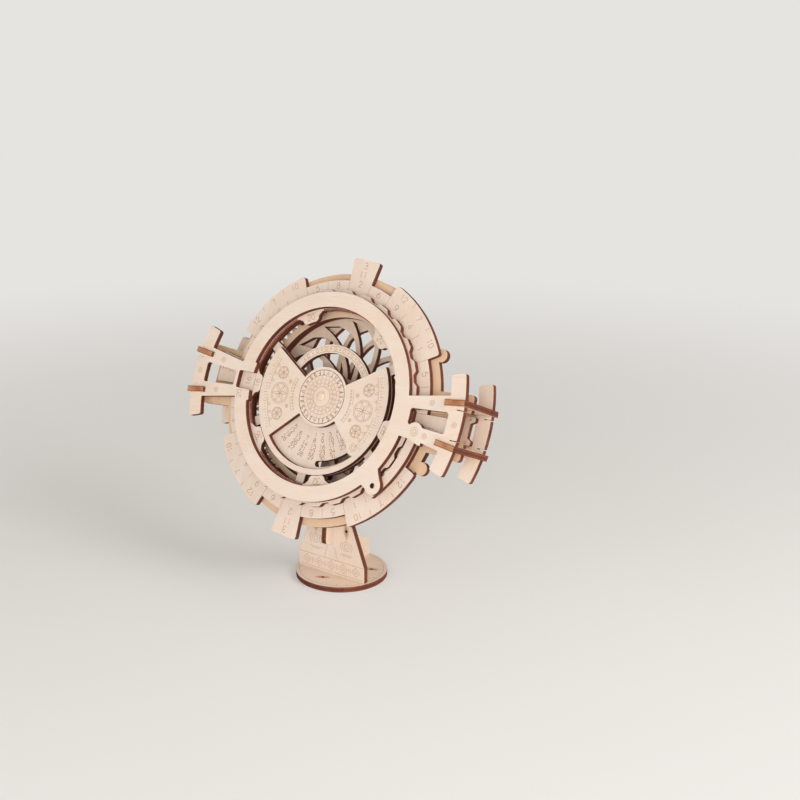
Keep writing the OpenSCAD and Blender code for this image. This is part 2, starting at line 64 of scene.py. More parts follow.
# Every dial has 28 sectors; the month dial stands a little past the top at rest
SECTORS = 28
SECTOR = 360 / SECTORS
MONTH_TURN = 4.1
# Engraved lines lie this far above the wood, so that they don't flicker
ENGRAVING_LIFT = 0.02

# ---------------- planes of the wheel and the stand

# The wheel's hub and the three directions of its plane, from the joint that the month dial turns on
HUB_JOINT = next(j for j in frame["joints"] if j["name"] == "month_turn")
HUB = np.array(HUB_JOINT["pos_m"]) / MM
OUT = np.array(HUB_JOINT["axis"], float)
OUT /= np.linalg.norm(OUT)
RIGHT = np.array([1.0, 0.0, 0.0])
UP = np.cross(OUT, RIGHT)


def corners(node):
    """All corners of a CAD node at rest, in millimetres."""
    mesh = frame["nodes"][node].data
    co = np.empty(len(mesh.vertices) * 3, np.float32)
    mesh.vertices.foreach_get("co", co)
    return co.reshape(-1, 3).astype(float) / MM


class Plane:
    """A sheet's face: an origin in millimetres, two directions across it and one out of it."""

    def __init__(self, origin, across, up, height):
        self.across, self.up = np.array(across, float), np.array(up, float)
        self.out = np.cross(self.across, self.up)
        self.origin = np.array(origin, float) + self.out * height

    def place(self, points, lift=0.0):
        """Points x, y (and z) on the face, in metres: origin plus x across, y up and z out."""
        out = points[:, 2] if points.shape[1] > 2 else np.zeros(len(points))
        spread = np.outer(points[:, 0], self.across) + np.outer(points[:, 1], self.up)
        return (self.origin + spread + np.outer(out + lift, self.out)) * MM


def wheel_face(node):
    """The front face of a sheet on the wheel, as far out as the sheet reaches."""
    return Plane(HUB, RIGHT, UP, ((corners(node) - HUB) @ OUT).max())


# ---------------- settings


def linear(hex_colour):
    """An sRGB hex colour as linear red, green and blue."""
    srgb = [int(hex_colour[i:i + 2], 16) / 255 for i in (1, 3, 5)]
    return [c / 12.92 if c <= 0.04045 else ((c + 0.055) / 1.055) ** 2.4 for c in srgb]


def colour_property(name, description, hex_colour):
    """A colour that a user may change, with an sRGB hex value as its default."""
    return FloatVectorProperty(name=name, description=description, default=linear(hex_colour),
                               subtype="COLOR", size=3, min=0, max=1)


def length_property(name, description, value, low, high):
    """A length in millimetres that a user may change."""
    return FloatProperty(name=name, description=description + ", in millimetres", default=value,
                         min=low, max=high, precision=2)


def power_property(name, description, value):
    """A lamp's power in watts that a user may change."""
    return FloatProperty(name=name, description=description, default=value, min=0, max=60,
                         unit="POWER")


class CalendarWoodColours(bpy.types.PropertyGroup):
    """Colours of the plywood, its cut edges and the dowels"""

    face: colour_property("Birch face", "Pale veneer between the grain lines", "#e8d7cb")
    grain: colour_property("Birch grain", "Darker lines and flecks of the veneer", "#dcbf9c")
    # Partly the inner sheets' own veneer, partly painted shade of the recesses where they lie
    core_face: colour_property("Core face", "Face of the inner, tanner sheets", "#e2b98c")
    edge: colour_property("Cut edge", "Reddish brown of the laser-cut edge", "#8a4229")
    char: colour_property("Char", "Darkest brown where the laser dwelt", "#421f12")
    # Painted light: this tan stands for the lit front ends of the connectors' cut edges
    end: colour_property("Connector end", "Tan of the connectors' lit front ends", "#bf8f68")
    scorch: colour_property("Scorch", "Golden brown of the wood round small holes", "#a8702f")
    engraving: colour_property("Engraving", "Scorched line of the engraved marks", "#b98c6c")
    letters: colour_property("Deep engraving", "Darker line of the deeper letters", "#94603f")
    dowel: colour_property("Dowel", "Turned birch dowel", "#e6d2bc")


class CalendarEngravingSizes(bpy.types.PropertyGroup):
    """Sizes of the engraved marks"""

    line: length_property("Line width", "Width of an engraved line", 0.28, 0.1, 0.8)
    fine_line: length_property("Fine line width", "Width of the thinner lines", 0.22, 0.1, 0.6)
    date_height: length_property("Date height", "Height of the date numbers", 2.25, 1, 2.6)
    month_height: length_property("Month height", "Height of the month numbers", 3.1, 2, 4.5)
    year_height: length_property("Year height", "Height of the year numbers", 3.0, 2, 4)
    day_height: length_property("Weekday height", "Height of the weekday letters", 1.9, 1, 2.2)


class CalendarStageSettings(bpy.types.PropertyGroup):
    """Colours and lamps of the stage"""

    floor: colour_property("Floor", "Plain pale floor and background", "#f2f0ed")
    backdrop: colour_property("Backdrop", "Tone into which the floor fades far away", "#e6e4e1")
    sky: colour_property("Sky", "Colour and strength of the even light around", "#9a958d")
    key_power: power_property("Key lamp", "Power of the lamp high on the left", 1.4)
    fill_power: power_property("Fill lamp", "Power of the soft lamp on the right", 3.4)
    low_power: power_property("Low lamp", "Power of the low lamp that lights the stand", 2.6)
    side_power: power_property("Side lamp", "Power of the lamp beside the calendar", 7.2)


def settings():
    """The three groups of settings on the scene."""
    scene = bpy.context.scene
    return scene.calendar_wood, scene.calendar_engraving, scene.calendar_stage


# ---------------- materials


def add_node(tree, kind, inputs=None, **values):
    """A new shader node with its values set. An input is linked where it is given as a node, for
    its first output, or as (node, output), and is set to the value otherwise."""
    node = tree.nodes.new("ShaderNode" + kind)
    for name, value in values.items():
        setattr(node, name, value)
    for name, value in (inputs or {}).items():
        socket = node.inputs[name]
        if isinstance(value, tuple) and isinstance(value[0], bpy.types.Node):
            tree.links.new(value[0].outputs[value[1]], socket)
        elif isinstance(value, bpy.types.Node):
            tree.links.new(value.outputs[0], socket)
        else:
            socket.default_value = value
    return node


def rgba(colour):
    """A linear colour with full opacity."""
    return (*colour, 1.0)


def set_ramp(node, stops):
    """A colour ramp's stops, as (place, linear colour) in rising order."""
    ramp = node.color_ramp
    while len(ramp.elements) < len(stops):
        ramp.elements.new(1.0)
    for element, (place, colour) in zip(ramp.elements, stops):
        element.position = place
        element.color = rgba(colour)
    return node


def mixed(a, b, share):
    """A colour part of the way from a to b."""
    return [x + (y - x) * share for x, y in zip(a, b)]


def new_material(name):
    """An empty node material with its output and Principled shader."""
    material = bpy.data.materials.new(name)
    material.use_nodes = True
    tree = material.node_tree
    tree.nodes.clear()
    shader = add_node(tree, "BsdfPrincipled")
    add_node(tree, "OutputMaterial", {"Surface": shader})
    return material, tree, shader


def sheet_coordinates(tree, along, across, out):
    """Object coordinates in millimetres, turned so that X runs along the grain and Z out of the
    sheet; gives the coordinates' node and the turning one."""
    turn = Matrix((along, across, out)).to_euler()
    place = add_node(tree, "TexCoord")
    return place, add_node(tree, "Mapping", {
        "Vector": (place, "Object"), "Rotation": turn, "Scale": (1 / MM,) * 3})


# A surface counts as the sheet's face, or as an end, where its normal is this close (as a cosine)
FACING = 0.7
# Patterns as repeats in a millimetre along the grain, across it and out of the sheet. Growth bands
# are the sine of a slow drift, about 9 mm apart. Flecks are 14 mm long and 0.6 mm wide, a little
# coarser than real pores so that they show. The beam's lines are 0.45 mm apart and run through the
# sheet, and a dowel's turned lines are 0.4 mm apart and run along it.
BAND_DRIFT = (0.018, 0.05, 0.05)
BAND_WAVES = 34.0
FLECKS = (0.07, 1.6, 1.6)
CLOUDS = 0.035
BEAM_LINES = (2.2, 2.2, 0.12)
BURNT_STRETCHES = 0.11
DOWEL_LINES = (2.6, 2.6, 0.12)
ENGRAVED_PATCHES = 0.35
# Depth of the flecks' and the lines' relief, in metres
RELIEF = 0.0001


def laser_cut_birch_plywood(name, normal, across, front, thickness, grain_turn, tan_and_shade, wood,
                            painted_light_end=None, scorches=()):
    """Laser-cut birch plywood, unfinished: silky pale faces with faint long flecks, and burnt
    red-brown edges whose three plies and beam lines show.

    The sheet's own normal tells face from edge. Ends that look along the given direction get
    painted
    light: they come out tan between dark lines, as a lit cut edge looks. Round each point of
    scorches the face is browned, further along the grain than across it.
    """
    normal, across = np.array(normal, float), np.array(across, float)
    side = np.cross(normal, across)
    turn = math.radians(grain_turn)
    along = across * math.cos(turn) + side * math.sin(turn)
    over = np.cross(normal, along)
    material, tree, shader = new_material(name)
    place, mm = sheet_coordinates(tree, along, over, normal)

    facing = add_node(tree, "VectorMath", {0: (place, "Normal"), 1: normal},
                      operation="DOT_PRODUCT")
    facing = add_node(tree, "Math", {0: (facing, "Value")}, operation="ABSOLUTE")
    is_face = add_node(tree, "Math", {0: facing, 1: FACING}, operation="GREATER_THAN")

    # Faces: growth bands bent by a slow noise, then fine flecks along the grain
    drift = add_node(tree, "VectorMath", {0: mm, 1: BAND_DRIFT}, operation="MULTIPLY")
    bands = add_node(tree, "TexNoise", {
        "Vector": drift, "Scale": 1.0, "Detail": 3.0, "Distortion": 0.4})
    band_wave = add_node(tree, "Math", {0: (bands, "Fac"), 1: BAND_WAVES}, operation="MULTIPLY")
    band_wave = add_node(tree, "Math", {0: band_wave}, operation="SINE")
    band_wave = add_node(tree, "MapRange", {"Value": band_wave, "From Min": -1.0, "To Max": 0.14})
    fleck_space = add_node(tree, "VectorMath", {0: mm, 1: FLECKS}, operation="MULTIPLY")
    flecks = add_node(tree, "TexNoise", {"Vector": fleck_space, "Scale": 1.0, "Roughness": 0.6})
    fleck_depth = add_node(tree, "MapRange", {
        "Value": (flecks, "Fac"), "From Min": 0.5, "From Max": 0.78, "To Max": 0.36})
    cloud = add_node(tree, "TexNoise", {"Vector": mm, "Scale": CLOUDS})
    cloud_tone = add_node(tree, "MapRange", {
        "Value": (cloud, "Fac"), "From Min": 0.3, "From Max": 0.7, "To Max": 0.22})
    grain = add_node(tree, "Math", {0: band_wave, 1: fleck_depth}, operation="ADD")
    grain = add_node(tree, "Math", {0: grain, 1: cloud_tone}, operation="ADD", use_clamp=True)
    # Towards the inner sheets' tan, which is partly their own and partly painted shade
    pale = mixed(wood.face, wood.core_face, tan_and_shade)
    dark = mixed(wood.grain, [c * 0.78 for c in wood.core_face], tan_and_shade)
    face_colour = set_ramp(add_node(tree, "ValToRGB", {"Fac": grain}), [(0.0, pale), (1.0, dark)])
    browned = (face_colour, "Color")
    # Browned rings: heat falls off round each point, stretched along the grain and broken by flecks
    for point in scorches:
        local = [float(np.dot(axis, point)) for axis in (along, over, normal)]
        away = add_node(tree, "VectorMath", {0: mm, 1: local}, operation="SUBTRACT")
        away = add_node(tree, "VectorMath", {0: away, 1: (0.4, 1.0, 1.0)}, operation="MULTIPLY")
        away = add_node(tree, "VectorMath", {0: away}, operation="LENGTH")
        heat = add_node(tree, "MapRange", {
            "Value": (away, "Value"), "From Min": 0.8, "From Max": 2.3, "To Min": 0.75,
            "To Max": 0.0}, interpolation_type="SMOOTHSTEP")
        heat = add_node(tree, "Math", {0: heat, 1: (flecks, "Fac")}, operation="MULTIPLY")
        heat = add_node(tree, "Math", {0: heat, 1: 1.8}, operation="MULTIPLY", use_clamp=True)
        browned = (add_node(tree, "Mix", {
            "Factor": heat, "A": browned, "B": rgba(wood.scorch)}, data_type="RGBA"), "Result")

    # Edges: three plies with dark glue lines, crossed by the beam's fine lines
    depth = add_node(tree, "SeparateXYZ", {"Vector": mm})
    depth = add_node(tree, "MapRange", {
        "Value": (depth, "Z"), "From Min": front - thickness, "From Max": front})
    edge, char = wood.edge, wood.char
    plies = set_ramp(add_node(tree, "ValToRGB", {"Fac": depth}), [
        (0.0, mixed(edge, char, 0.75)), (0.08, edge), (0.3, mixed(edge, wood.face, 0.05)),
        (0.345, char), (0.40, mixed(edge, char, 0.45)), (0.60, mixed(edge, char, 0.35)),
        (0.655, char), (0.70, mixed(edge, wood.face, 0.08)), (0.92, edge),
        (1.0, mixed(edge, char, 0.6))])
    beam_space = add_node(tree, "VectorMath", {0: mm, 1: BEAM_LINES}, operation="MULTIPLY")
    beam = add_node(tree, "TexNoise", {"Vector": beam_space, "Scale": 1.0})
    scorch = add_node(tree, "TexNoise", {"Vector": mm, "Scale": BURNT_STRETCHES, "Detail": 3.0})
    burnt = add_node(tree, "Math", {0: (beam, "Fac"), 1: (scorch, "Fac")}, operation="MULTIPLY")
    burnt = add_node(tree, "MapRange", {
        "Value": burnt, "From Min": 0.12, "From Max": 0.42, "To Min": 0.75, "To Max": 0.0})
    edge_colour = add_node(tree, "Mix", {
        "Factor": burnt, "A": (plies, "Color"), "B": rgba(char)}, data_type="RGBA")
    # Painted light: ends that face the front get a lit copy of the cut edge, tan between dark lines
    if painted_light_end is not None:
        ends = set_ramp(add_node(tree, "ValToRGB", {"Fac": depth}), [
            (0.0, char), (0.12, mixed(wood.end, edge, 0.5)), (0.22, wood.end),
            (0.5, mixed(wood.end, edge, 0.25)), (0.78, wood.end),
            (0.88, mixed(wood.end, edge, 0.5)), (1.0, char)])
        streaks = add_node(tree, "MapRange", {
            "Value": (scorch, "Fac"), "From Min": 0.45, "From Max": 0.62, "To Max": 0.6})
        ends = add_node(tree, "Mix", {
            "Factor": streaks, "A": (ends, "Color"), "B": rgba(wood.edge)}, data_type="RGBA")
        looks = add_node(tree, "VectorMath", {0: (place, "Normal"), 1: painted_light_end},
                         operation="DOT_PRODUCT")
        looks = add_node(tree, "Math", {0: (looks, "Value"), 1: FACING}, operation="GREATER_THAN")
        edge_colour = add_node(tree, "Mix", {
            "Factor": looks, "A": (edge_colour, "Result"), "B": (ends, "Result")},
            data_type="RGBA")
    colour = add_node(tree, "Mix", {
        "Factor": is_face, "A": (edge_colour, "Result"), "B": browned}, data_type="RGBA")
    tree.links.new(colour.outputs["Result"], shader.inputs["Base Color"])

    # The grain's darker lines are rougher than the silky wood between them, and the edge is matt
    roughness = add_node(tree, "MapRange", {"Value": grain, "To Min": 0.52, "To Max": 0.72})
    roughness = add_node(tree, "Mix", {"Factor": is_face, "A": 0.8, "B": roughness})
    tree.links.new(roughness.outputs["Result"], shader.inputs["Roughness"])
    relief = add_node(tree, "Mix", {"Factor": is_face, "A": (beam, "Fac"), "B": (flecks, "Fac")})
    bump = add_node(tree, "Bump", {
        "Strength": 0.35, "Distance": RELIEF, "Height": (relief, "Result")})
    tree.links.new(bump.outputs["Normal"], shader.inputs["Normal"])
    shader.inputs["Specular IOR Level"].default_value = 0.35
    return material


def turned_birch_dowel(name, axis, wood):
    """Turned birch dowel, bare: pale straw wood with fine lines that run along it."""
    along = np.cross(axis, RIGHT)
    along /= np.linalg.norm(along)
    material, tree, shader = new_material(name)
    mm = sheet_coordinates(tree, along, np.cross(axis, along), axis)[1]
    line_space = add_node(tree, "VectorMath", {0: mm, 1: DOWEL_LINES}, operation="MULTIPLY")
    lines = add_node(tree, "TexNoise", {"Vector": line_space, "Scale": 1.0, "Detail": 3.0})
    colour = set_ramp(add_node(tree, "ValToRGB", {"Fac": (lines, "Fac")}), [
        (0.3, mixed(wood.dowel, wood.edge, 0.25)), (0.55, wood.dowel),
        (0.75, mixed(wood.dowel, wood.face, 0.6))])
    tree.links.new(colour.outputs["Color"], shader.inputs["Base Color"])
    bump = add_node(tree, "Bump", {"Strength": 0.3, "Distance": RELIEF, "Height": (lines, "Fac")})
    tree.links.new(bump.outputs["Normal"], shader.inputs["Normal"])
    shader.inputs["Roughness"].default_value = 0.55
    shader.inputs["Specular IOR Level"].default_value = 0.4
    return material


def laser_engraved_birch(name, tint, wood):
    """Birch scorched by a light laser pass: matt brown lines that vary a little in depth."""
    # With the cut edge's brown as its tint, this material also paints shade on the year ring
    material, tree, shader = new_material(name)
    place = add_node(tree, "TexCoord")
    mm = add_node(tree, "Mapping", {"Vector": (place, "Object"), "Scale": (1 / MM,) * 3})
    patches = add_node(tree, "TexNoise", {"Vector": mm, "Scale": ENGRAVED_PATCHES, "Detail": 3.0})
    colour = set_ramp(add_node(tree, "ValToRGB", {"Fac": (patches, "Fac")}), [
        (0.3, mixed(tint, wood.edge, 0.25)), (0.7, mixed(tint, wood.face, 0.2))])
    tree.links.new(colour.outputs["Color"], shader.inputs["Base Color"])
    shader.inputs["Roughness"].default_value = 0.85
    shader.inputs["Specular IOR Level"].default_value = 0.2
    return material


# ---------------- lines and numbers


def polar(radius, angle):
    """A point at a radius and a clockwise angle from the top: (r sin a, r cos a)."""
    angle = np.radians(angle)
    return np.stack([radius * np.sin(angle), radius * np.cos(angle)], -1)


def arc_line(radius, start, end, steps=24):
    """Points along an arc of the dial, from one clockwise angle to the other."""
    return polar(radius, np.linspace(start, end, steps + 1))


def circle_line(centre, radius, steps=20):
    """A closed circle round a point."""
    return centre + polar(radius, np.linspace(0, 360, steps, endpoint=False)), True


def ring_pair(centre, outer, inner, steps=(20, 20)):
    """Two closed circles round a point."""
    return [circle_line(centre, outer, steps[0]), circle_line(centre, inner, steps[1])]


def straight_line(start, end):
    """A straight line between two points."""
    return np.array([start, end], float), False


def radial_line(inner, outer, angle):
    """A straight line outwards at one angle."""
    return straight_line(polar(inner, angle), polar(outer, angle))


def softened(points, closed):
    """A line of points with its corners cut at a quarter and three quarters of each side, twice
    over."""
    p = np.asarray(points, float)
    for _ in range(2):
        after = np.roll(p, -1, 0)
        cut = np.stack([0.75 * p + 0.25 * after, 0.25 * p + 0.75 * after], 1).reshape(-1, 2)
        p = cut if closed else np.vstack([p[:1], cut[1:-3], p[-1:]])
    return p


# Each number and letter as its lines, one unit high: (points, closed, softened)
SIGNS = {
    "0": [([(.3, 1), (.56, .92), (.6, .5), (.56, .08), (.3, 0), (.04, .08), (0, .5), (.04, .92)],
           True, True)],
    "1": [([(.14, .8), (.36, 1), (.36, 0)], False, False)],
    "2": [([(.02, .74), (.08, 1.02), (.56, 1.04), (.62, .62), (.3, .34), (.02, 0)], False, True),
          ([(.02, 0), (.6, 0)], False, False)],
    "3": [([(.03, .88), (.2, 1.06), (.62, 1), (.6, .54), (.22, .54)], False, True),
          ([(.22, .54), (.66, .56), (.68, 0), (.2, -.08), (.0, .14)], False, True)],
    "4": [([(.46, 0), (.46, 1), (0, .3), (.62, .3)], False, False)],
    "5": [([(.56, 1), (.1, 1), (.06, .55)], False, False),
          ([(.06, .55), (.3, .7), (.66, .58), (.66, .02), (.24, -.08), (.0, .12)], False, True)],
    "6": [([(.52, .98), (.1, .8), (-.06, .2), (.2, -.08), (.62, .02), (.62, .56), (.2, .64),
            (.02, .36)], False, True)],
    "7": [([(0, 1), (.6, 1), (.2, 0)], False, False)],
    "8": [([(.3, 1.02), (.56, .96), (.56, .58), (.3, .52), (.04, .58), (.04, .96)], True, True),
          ([(.3, .54), (.62, .48), (.62, .02), (.3, -.02), (-.02, .02), (-.02, .48)], True, True)],
    "9": [([(.08, .02), (.5, .2), (.66, .8), (.4, 1.08), (-.02, .98), (-.02, .44), (.4, .36),
            (.58, .64)], False, True)],
    "S": [([(.56, .86), (.36, 1.06), (.0, .98), (.0, .56), (.6, .46), (.62, .02), (.22, -.06),
            (.02, .14)], False, True)],
    "M": [([(0, 0), (.02, 1), (.32, .35), (.62, 1), (.64, 0)], False, False)],
    "T": [([(0, 1), (.6, 1)], False, False), ([(.3, 1), (.3, 0)], False, False)],
    "W": [([(0, 1), (.16, 0), (.34, .72), (.52, 0), (.68, 1)], False, False)],
    "F": [([(0, 0), (0, 1), (.56, 1)], False, False), ([(0, .52), (.42, .52)], False, False)],
}


# Width of a sign, and the step from one to the next, as shares of its height
SIGN_WIDTH, SIGN_STEP = 0.6, 0.84


def sign_lines(text, height, centre, turn):
    """Numbers or letters as lines, turned clockwise about their centre."""
    width = SIGN_STEP * (len(text) - 1) + SIGN_WIDTH
    turn = math.radians(turn)
    spin = np.array([[math.cos(turn), -math.sin(turn)], [math.sin(turn), math.cos(turn)]])
    lines = []
    for i, sign in enumerate(text):
        for points, closed, soft in SIGNS[sign]:
            p = softened(points, closed) if soft else np.asarray(points, float)
            p = (p + [i * SIGN_STEP - width / 2, -0.5]) * height
            lines.append((p @ spin + centre, closed))
    return lines


def dial_sign(text, height, radius, angle, feet_out=False):
    """Numbers or letters on a dial, their tops outwards, or their feet where that is asked for."""
    return sign_lines(text, height, polar(radius, angle), angle + (180 if feet_out else 0))


def ribbon(points, width, closed):
    """A flat band along a path: each point moves half the width to both sides, along the mitre
    (a + b) / (1 + a.b) of the normals a and b of the two steps that meet there. The divisor stays
    over 0.6, so that a sharp corner doesn't grow a long spike."""
    step = np.roll(points, -1, 0) - points
    if not closed:
        step[-1] = step[-2]
    normal = np.stack([-step[:, 1], step[:, 0]], 1)
    normal /= np.maximum(np.linalg.norm(normal, axis=1, keepdims=True), 1e-9)
    before = np.roll(normal, 1, 0)
    if not closed:
        before[0] = normal[0]
    share = np.maximum(1 + (normal * before).sum(1, keepdims=True), 0.6)
    mitre = (normal + before) / share * width / 2
    verts = np.stack([points - mitre, points + mitre], 1).reshape(-1, 2)
    count = len(points)
    i = np.arange(count if closed else count - 1)
    j = (i + 1) % count
    return verts, np.stack([2 * i, 2 * j, 2 * j + 1, 2 * i + 1], 1)


def mesh_object(name, verts, faces, material, smooth=False):
    """A mesh object at the origin, from its corners in metres and its faces of four corners."""
    mesh = bpy.data.meshes.new(name)
    mesh.from_pydata(verts.tolist(), [], faces.tolist())
    mesh.validate()
    mesh.polygons.foreach_set("use_smooth", np.full(len(mesh.polygons), smooth))
    mesh.materials.append(material)
    mesh.update()
    piece = bpy.data.objects.new(name, mesh)
    bpy.context.scene.collection.objects.link(piece)
    return piece


def engrave(name, body, face, lines, width, material="laser_engraved_birch"):
    """One piece of engraved lines on a sheet's face, each a flat band a hair above the wood."""
    verts, faces, count = [], [], 0
    for points, closed in lines:
        v, f = ribbon(points, width, closed)
        verts.append(v)
        faces.append(f + count)
        count += len(v)
    piece = mesh_object(name, face.place(np.vstack(verts), ENGRAVING_LIFT), np.vstack(faces),
                        bpy.data.materials[material])
    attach(piece, body)


def turned_surface(profile, steps):
    """A profile of (radius, height) carried round the upright axis, as corners and faces.

    The corner at point i of the profile and turn t is (radius_i cos t, radius_i sin t, height_i).
    Faces look away from the axis where the profile climbs.
    """
    around = np.linspace(0, 2 * math.pi, steps, endpoint=False)
    x, y = np.outer(profile[:, 0], np.cos(around)), np.outer(profile[:, 0], np.sin(around))
    verts = np.stack([x, y, np.repeat(profile[:, 1:], steps, 1)], -1).reshape(-1, 3)
    ring, col = np.meshgrid(np.arange(len(profile) - 1), np.arange(steps), indexing="ij")
    after = (col + 1) % steps
    faces = np.stack([ring * steps + col, ring * steps + after, (ring + 1) * steps + after,
                      (ring + 1) * steps + col], -1).reshape(-1, 4)
    return verts, faces


# ---------------- operators


class PieceOperator:
    """Shared options of the calendar's operators"""

    bl_options = {"REGISTER", "UNDO"}


# For each sheet of the wheel: the turn of its grain, and how far its face goes from pale birch (0)
# to the tan of the inner sheets (1), a tan that is partly their own and partly painted shade
WHEEL_SHEETS = {
    "front_frame": (4, 0.0), "year_ring": (93, 0.05), "detent_arm": (40, 0.05),
    "month_dial": (96, 0.0), "window_cover": (2, 0.0), "weekday_disc": (88, 0.0),
    "guide_pins": (4, 0.1), "detent_pin": (40, 0.1), "window_pin": (2, 0.1),
    "middle_frame": (91, 0.7), "main_gear": (8, 0.5), "spacer_blocks": (60, 0.6),
    "spacer_ring": (30, 0.6), "front_swirl": (95, 0.25), "rear_swirl": (5, 0.25),
    "rear_frame": (92, 0.0), "axle_knob": (20, 0.1), "side_knob": (70, 0.1), "pinion": (15, 0.3),
    "axle_collar": (50, 0.4), "pin_keeper": (10, 0.3), "wing_brace_left": (88, 0.1),
    "wing_brace_right": (92, 0.1),
}
# For each sheet of the stand: the directions out of it and across it, the turn of its grain, how
# far its face goes towards the tan that is partly painted shade, and where the laser pierced a
# small hole and browned the wood round it
STAND_SHEETS = {
    "base_disc": ((0, 0, 1), (1, 0, 0), 25, 0.1, [(-0.9, -15.9, 3.0), (14.4, 8.1, 3.0)]),
    "stand_panel": ((0, -1, 0), (0, 0, 1), 3, 0.0, [(-10.5, -9.5, 30.6), (10.5, -9.5, 30.6)]),
    "stand_rib": ((1, 0, 0), (0, 1, 0), 50, 0.1, []),
}
# For each connector: its side of the hub, and whether it leans up or down by the link angle
CONNECTORS = {
    "connector_left_upper": (-1, 1), "connector_left_lower": (-1, -1),
    "connector_right_upper": (1, 1), "connector_right_lower": (1, -1),
}
LINK_ANGLE = 7.4
# How far the connectors' faces go towards that tan, which is partly painted shade
CONNECTOR_TAN_AND_SHADE = 0.3


def give_finish(node, material):
    """Puts a material on a CAD node in place of its plain one."""
    slots = frame["nodes"][node].data.materials
    slots.clear()
    slots.append(material)


def finish_sheet(node, normal, across, grain_turn, tan_and_shade, painted_light_end=None, scorches=()):
    """Gives a CAD sheet its own plywood finish, with plies that follow its thickness."""
    depth = corners(node) @ np.array(normal, float)
    give_finish(node, laser_cut_birch_plywood(
        "laser_cut_birch_plywood." + node, normal, across, depth.max(), np.ptp(depth),
        grain_turn, tan_and_shade, settings()[0], painted_light_end, scorches))


class CALENDAR_OT_plywood_finish(PieceOperator, bpy.types.Operator):
    """Give every sheet its laser-cut plywood finish"""

    bl_idname = "calendar.plywood_finish"
    bl_label = "Plywood finish"

    def execute(self, context):
        for node, (grain_turn, tan_and_shade) in WHEEL_SHEETS.items():
            finish_sheet(node, OUT, RIGHT, grain_turn, tan_and_shade)
        for node, (normal, across, grain_turn, tan_and_shade, scorches) in STAND_SHEETS.items():
            finish_sheet(node, normal, across, grain_turn, tan_and_shade, scorches=scorches)
        for node, (side, up) in CONNECTORS.items():
            lean = math.radians(LINK_ANGLE) * up
            normal = -side * math.sin(lean) * RIGHT + math.cos(lean) * UP
            # Painted light on the connectors' front ends, which look along OUT
            finish_sheet(node, normal, OUT, 0, CONNECTOR_TAN_AND_SHADE, painted_light_end=OUT)
        return {"FINISHED"}


class CALENDAR_OT_dowel_finish(PieceOperator, bpy.types.Operator):
    """Give the two axles their dowel finish, and make the engravings' and the painted shade's
    finishes
    """

    bl_idname = "calendar.dowel_finish"
    bl_label = "Dowel and engraving finish"

    def execute(self, context):
        wood = settings()[0]
        material = turned_birch_dowel("turned_birch_dowel", OUT, wood)
        for node in ("axle", "pinion_axle"):
            give_finish(node, material)
        laser_engraved_birch("laser_engraved_birch", wood.engraving, wood)
        laser_engraved_birch("deep_laser_engraved_birch", wood.letters, wood)
        # Painted shade: the cut edge's brown, laid as a band on the year ring where the front
        # frame's edge shades it
        laser_engraved_birch("burnt_birch_rim", wood.edge, wood)
        return {"FINISHED"}


# The year ring counts from the notch at nine o'clock, and carries a tab at every fifth sector
NOTCH = 270
FIRST_YEAR = 16
YEAR_TABS = 6
TAB_STEP = 5 * SECTOR
# Half of a tab's angle; radii of the numbers in the sectors and on the tabs; the band of painted
# shade that lies between the tabs at the foot of the front frame's inner edge, and its width
YEAR_TAB_HALF = 10.6
YEAR_RADIUS, TAB_RADIUS = 50.6, 44.2
YEAR_SHADE_RADIUS, YEAR_SHADE_WIDTH = 46.7, 0.94


class CALENDAR_OT_year_marks(PieceOperator, bpy.types.Operator):
    """Engrave the year ring's numbers, in every sector and on its six tabs, and paint shade between
    the tabs
    """

    bl_idname = "calendar.year_marks"
    bl_label = "Year ring marks"

    def execute(self, context):
        size = settings()[1]
        face = wheel_face("year_ring")
        lines = []
        for k in range(SECTORS):
            lines += dial_sign(str(FIRST_YEAR + k), size.year_height, YEAR_RADIUS,
                               NOTCH - k * SECTOR)
        shade_bands = []
        for k in range(YEAR_TABS):
            tab = NOTCH + k * TAB_STEP
            lines += dial_sign(str(FIRST_YEAR + 4 * k), size.year_height, TAB_RADIUS, tab)
            # The last gap closes the circle, so it is shorter than the others
            after = tab + TAB_STEP if k < YEAR_TABS - 1 else NOTCH + 360
            # Painted shade in the gap after this tab, at the foot of the front frame's inner edge
            rim = arc_line(YEAR_SHADE_RADIUS, tab + YEAR_TAB_HALF, after - YEAR_TAB_HALF)
            shade_bands.append((rim, False))
        engrave("year_ring_marks", "year_wheel", face, lines, size.line)
        engrave("year_ring_burnt_rim", "year_wheel", face, shade_bands, YEAR_SHADE_WIDTH,
                "burnt_birch_rim")
        return {"FINISHED"}


# Months on each seventh of a quarter of the ring: (number, radius) from the outside in
MONTH_SECTORS = [
    [("3", 72.0), ("11", 67.2), ("2", 62.0)], [("6", 60.4)], [("12", 66.6), ("9", 60.4)],
    [("7", 66.6), ("4", 60.4)], [("10", 66.6), ("1", 60.4)], [("5", 60.4)], [("8", 60.4)],
]
# Inner and outer radius of the lines after a sector: two where a wide tab goes on, one elsewhere
TAB_BORDERS = [(66.5, 69.4), (58.0, 62.4)]
RING_BORDERS = [(57.8, 62.8)]


